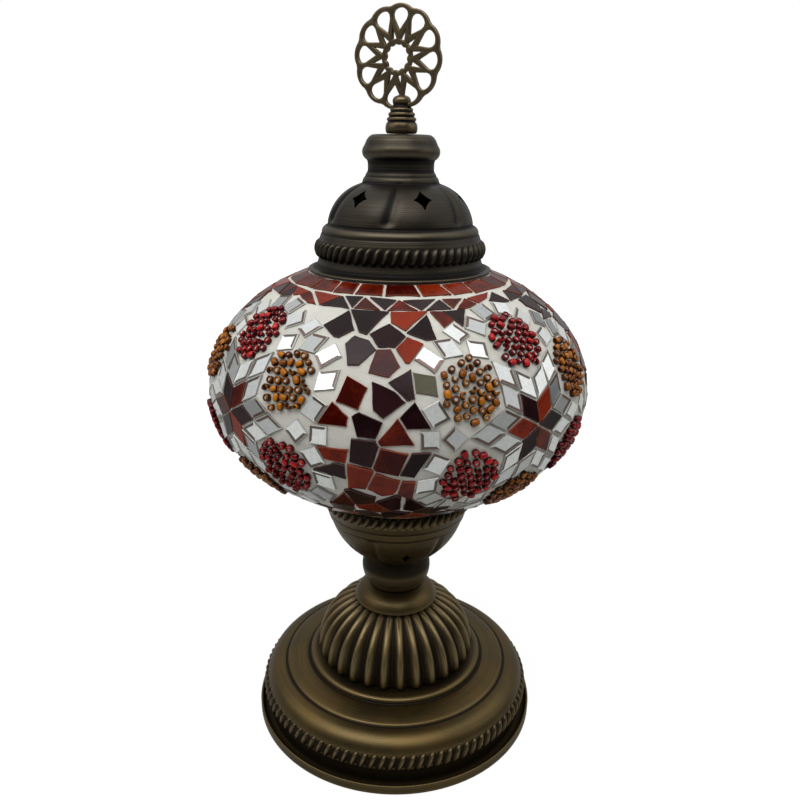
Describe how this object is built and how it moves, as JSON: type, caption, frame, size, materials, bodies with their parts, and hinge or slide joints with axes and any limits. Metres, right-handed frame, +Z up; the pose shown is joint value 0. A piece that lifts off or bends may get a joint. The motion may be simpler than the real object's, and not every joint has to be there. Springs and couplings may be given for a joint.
{
  "type": "mosaic table lamp",
  "caption": "Table lamp with a round glass globe under a mosaic of cut tiles and beads, on a stepped and fluted brass foot, with a pierced lift-off cap and a rosette finial.",
  "frame": {"origin": "middle of the underside, on the table", "axes": "+Z up along the lamp's axis, -Y to the front"},
  "size_m": [0.1753, 0.1755, 0.3389],
  "materials": {
    "antique_brass": "antiqued, dark in the hollows and rubbed on the edges",
    "zinc_steel": "zinc plated",
    "spring_steel": "plain spring strip",
    "contact_brass": "bright",
    "cast_iron": "rough cast",
    "felt": "dense felt",
    "rubber": "matt",
    "black_moulding": "moulded",
    "clear_glass": "blown, clear",
    "opal_glass": "opal",
    "grout": "off-white cement grout, fine and dull",
    "red_glass": "streaked red and amber glass",
    "aubergine_glass": "near black aubergine glass",
    "silvered_glass": "silvered glass with ground edges",
    "olive_glass": "olive glass",
    "amber_beads": "cut amber glass beads",
    "ruby_beads": "cut ruby glass beads"
  },
  "bodies": {
    "stand": {"felt_pad": "felt", "base_pan": "antique_brass", "base_weight": "cast_iron", "stepped_foot": "antique_brass", "cord_grommet": "rubber", "fluted_bell": "antique_brass", "bell_collar": "antique_brass", "neck_ball": "antique_brass", "gallery_cup": "antique_brass", "centre_tube": "zinc_steel", "base_washer": "zinc_steel", "base_nut": "zinc_steel", "cup_nut": "zinc_steel", "holder_base": "black_moulding", "holder_sleeve": "black_moulding", "holder_screw_shell": "contact_brass", "holder_contact": "contact_brass", "globe_glass": "clear_glass", "grout_bed": "grout", "globe_gasket": "rubber", "star_tiles_dark": "aubergine_glass", "star_tiles_red": "red_glass", "mirror_rhombs": "silvered_glass", "mirror_squares": "silvered_glass", "tinted_squares": "olive_glass", "amber_bead_beds": "amber_beads", "ruby_bead_beds": "ruby_beads", "rim_tiles": "red_glass", "red_tiles": "red_glass", "dark_tiles": "aubergine_glass"},
    "bulb": {"bulb_cap": "contact_brass", "bulb_insulator": "black_moulding", "bulb_contact": "contact_brass", "bulb_envelope": "opal_glass"},
    "cap": {"cap_shell": "antique_brass", "cap_clips": "spring_steel", "cap_stud": "zinc_steel", "stud_nut": "zinc_steel"},
    "finial": {"finial_knob": "antique_brass", "finial_rosette": "antique_brass"}
  },
  "joints": [
    {"name": "cap_lift", "type": "slide", "parent": "stand", "child": "cap", "axis": [0, 0, 1], "range_m": [0, 0.08]},
    {"name": "finial_turn", "type": "hinge", "parent": "cap", "child": "finial", "pos_m": [0, 0, 0.29], "axis": [0, 0, 1], "continuous": true},
    {"name": "bulb_turn", "type": "hinge", "parent": "stand", "child": "bulb", "pos_m": [0, 0, 0.12], "axis": [0, 0, 1], "range_deg": [0, 1080]}
  ]
}
